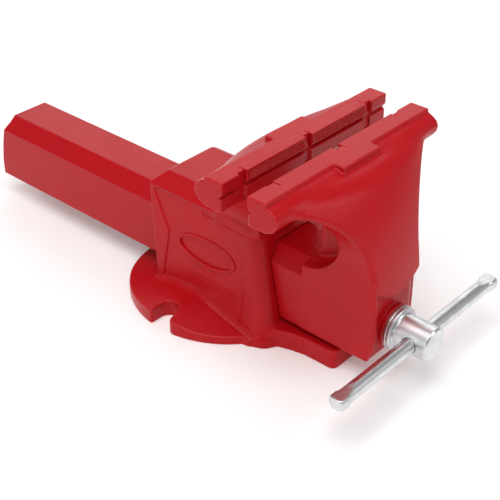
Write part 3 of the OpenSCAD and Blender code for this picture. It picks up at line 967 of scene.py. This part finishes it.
# ---------- materials ----------


def shader(name, colour, metallic, roughness, specular=0.5):
    """A new material with its tree, principled shader and object coordinates."""
    material = bpy.data.materials.new(name)
    material.use_nodes = True
    tree = material.node_tree
    bsdf = tree.nodes["Principled BSDF"]
    bsdf.inputs["Base Color"].default_value = (*colour, 1)
    bsdf.inputs["Metallic"].default_value = metallic
    bsdf.inputs["Roughness"].default_value = roughness
    bsdf.inputs["Specular IOR Level"].default_value = specular
    coords = tree.nodes.new("ShaderNodeTexCoord").outputs["Object"]
    return material, tree, bsdf, coords


def noise(tree, coords, scale, detail=2.0, stretch=(1, 1, 1)):
    """Noise whose features are about 1 / scale metres across."""
    mapping = tree.nodes.new("ShaderNodeMapping")
    mapping.inputs["Scale"].default_value = stretch
    tree.links.new(coords, mapping.inputs["Vector"])
    texture = tree.nodes.new("ShaderNodeTexNoise")
    texture.inputs["Scale"].default_value = scale
    texture.inputs["Detail"].default_value = detail
    tree.links.new(mapping.outputs["Vector"], texture.inputs["Vector"])
    return texture.outputs["Fac"]


def spread(tree, value, low, high, to_low, to_high):
    """value between low and high, moved to the range from to_low to to_high."""
    node = tree.nodes.new("ShaderNodeMapRange")
    for i, number in enumerate((low, high, to_low, to_high), start=1):
        node.inputs[i].default_value = number
    tree.links.new(value, node.inputs["Value"])
    return node.outputs["Result"]


def tint(tree, factor, base, other):
    """Colour that goes from base to other with factor; base may be a colour or a socket."""
    node = tree.nodes.new("ShaderNodeMix")
    node.data_type = "RGBA"
    tree.links.new(factor, node.inputs["Factor"])
    if isinstance(base, tuple):
        node.inputs[6].default_value = (*base, 1)
    else:
        tree.links.new(base, node.inputs[6])
    node.inputs[7].default_value = (*other, 1)
    return node.outputs[2]


def bump(tree, height, strength, distance, below=None):
    """Normals disturbed by height, on top of the normals below."""
    node = tree.nodes.new("ShaderNodeBump")
    node.inputs["Strength"].default_value = strength
    node.inputs["Distance"].default_value = distance
    tree.links.new(height, node.inputs["Height"])
    if below is not None:
        tree.links.new(below, node.inputs["Normal"])
    return node.outputs["Normal"]


def enamel(name, peel):
    """Thick glossy red enamel over a sand casting, with a painted highlight on its convex edges;
    peel is the strength of its surface texture.
    """
    material, tree, bsdf, coords = shader(name, ENAMEL, 0.0, 0.3, 0.2)
    broad = noise(tree, coords, 38, 3)
    sand = noise(tree, coords, 420, 1)
    fine = noise(tree, coords, 1300, 0)
    colour = tint(tree, spread(tree, broad, 0.35, 0.7, 0, 1), ENAMEL, ENAMEL_DEEP)
    # Painted highlight: convex edges, found by their pointiness, turn a lighter, pinker red
    edge = tree.nodes.new("ShaderNodeNewGeometry").outputs["Pointiness"]
    colour = tint(tree, spread(tree, edge, 0.52, 0.6, 0, 0.5), colour, ENAMEL_EDGE_HIGHLIGHT)
    tree.links.new(colour, bsdf.inputs["Base Color"])
    rough = spread(tree, broad, 0.3, 0.7, 0.28, 0.36)
    tree.links.new(rough, bsdf.inputs["Roughness"])
    normal = bump(tree, sand, peel, 0.0005)
    normal = bump(tree, fine, peel, 0.0001, normal)
    tree.links.new(normal, bsdf.inputs["Normal"])
    return material


def metal(name, colour, dull, roughness, grain, stretch):
    """Plated or oiled steel with fine marks along one direction and dull patches."""
    material, tree, bsdf, coords = shader(name, colour, 1.0, roughness)
    patches = noise(tree, coords, 130, 4)
    marks = noise(tree, coords, 900, 3, stretch)
    shade = tint(tree, spread(tree, patches, 0.35, 0.7, 0, 1), colour, dull)
    tree.links.new(shade, bsdf.inputs["Base Color"])
    rough = spread(tree, patches, 0.3, 0.7, roughness - 0.04, roughness + 0.06)
    tree.links.new(rough, bsdf.inputs["Roughness"])
    tree.links.new(bump(tree, marks, grain, 0.0002), bsdf.inputs["Normal"])
    return material


ENAMEL = (0.49, 0.004, 0.009)
ENAMEL_DEEP = (0.46, 0.004, 0.009)
# Lighter, pinker red painted on convex edges as a highlight
ENAMEL_EDGE_HIGHLIGHT = (0.66, 0.06, 0.06)
FINISHES = {
    "paint": enamel("red_enamel", 0.28),
    "plate_paint": enamel("red_enamel_plates", 0.4),
    "zinc": metal("zinc_plate", (0.76, 0.77, 0.78), (0.6, 0.61, 0.62), 0.32, 0.08, (1, 1, 1)),
    "steel": metal("oiled_steel", (0.34, 0.34, 0.35), (0.2, 0.19, 0.18), 0.38, 0.3, (1, 0.1, 1)),
}
CAD_SLOTS = {
    "nut_dowel": "steel",
    "rear_plate_pins": "steel",
    "front_plate_pins": "steel",
}
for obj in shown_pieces():
    finish = obj.get("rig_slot") or CAD_SLOTS[obj.name]
    obj.data.materials.clear()
    obj.data.materials.append(FINISHES[finish])


# ---------- floor, light and camera ----------

FLOOR_HALF = 6
FLOOR_CORNERS = [
    (x * FLOOR_HALF, y * FLOOR_HALF, 0) for x, y in ((-1, -1), (1, -1), (1, 1), (-1, 1))
]
floor_mesh = bpy.data.meshes.new("floor")
floor_mesh.from_pydata(FLOOR_CORNERS, [], [(0, 1, 2, 3)])
floor = bpy.data.objects.new("floor", floor_mesh)
bpy.context.scene.collection.objects.link(floor)
pale, pale_tree, pale_bsdf, pale_coords = shader("pale_floor", (0.94, 0.94, 0.94), 0.0, 0.7, 0.2)
pale_tone = tint(
    pale_tree, noise(pale_tree, pale_coords, 6), (0.94, 0.94, 0.94), (0.93, 0.93, 0.93)
)
pale_tree.links.new(pale_tone, pale_bsdf.inputs["Base Color"])
# A little glow, as on a light table, keeps the shadows pale
pale_bsdf.inputs["Emission Color"].default_value = (1, 1, 1, 1)
pale_bsdf.inputs["Emission Strength"].default_value = 0.16
floor_mesh.materials.append(pale)

world = bpy.data.worlds.new("studio")
bpy.context.scene.world = world
world.use_nodes = True
background = world.node_tree.nodes["Background"]
background.inputs["Color"].default_value = (1, 1, 1, 1)
background.inputs["Strength"].default_value = 0.31


def softbox(name, place, target, size, watts):
    """A square light that faces the target."""
    light = bpy.data.lights.new(name, "AREA")
    light.size = size
    light.energy = watts
    obj = bpy.data.objects.new(name, light)
    obj.location = place
    obj.rotation_mode = "QUATERNION"
    obj.rotation_quaternion = (Vector(place) - Vector(target)).to_track_quat("Z", "Y")
    bpy.context.scene.collection.objects.link(obj)


MIDDLE = (0, -0.02, 0.06)
softbox("behind", (0.95, 0.85, 0.95), MIDDLE, 1.5, 7.5)
softbox("overhead", (-0.45, -0.15, 1.45), MIDDLE, 1.1, 14)
softbox("left", (-1.3, 0.2, 0.55), MIDDLE, 0.8, 2)
softbox("front", (0.5, -1.4, 0.9), MIDDLE, 0.8, 4.5)

LENS_MM = 82.97
CAMERA_PLACE = (-0.4637, -0.431, 0.446)
AZIMUTH, ELEVATION = math.radians(-48.3), math.radians(33.53)
camera = bpy.data.cameras.new("camera")
camera.lens = LENS_MM
camera_obj = bpy.data.objects.new("camera", camera)
camera_obj.location = CAMERA_PLACE
camera_obj.rotation_mode = "QUATERNION"
backward = Vector(
    (
        math.sin(AZIMUTH) * math.cos(ELEVATION),
        -math.cos(AZIMUTH) * math.cos(ELEVATION),
        math.sin(ELEVATION),
    )
)
camera_obj.rotation_quaternion = backward.to_track_quat("Z", "Y")
bpy.context.scene.collection.objects.link(camera_obj)
bpy.context.scene.camera = camera_obj
bpy.context.scene.view_settings.view_transform = "Standard"
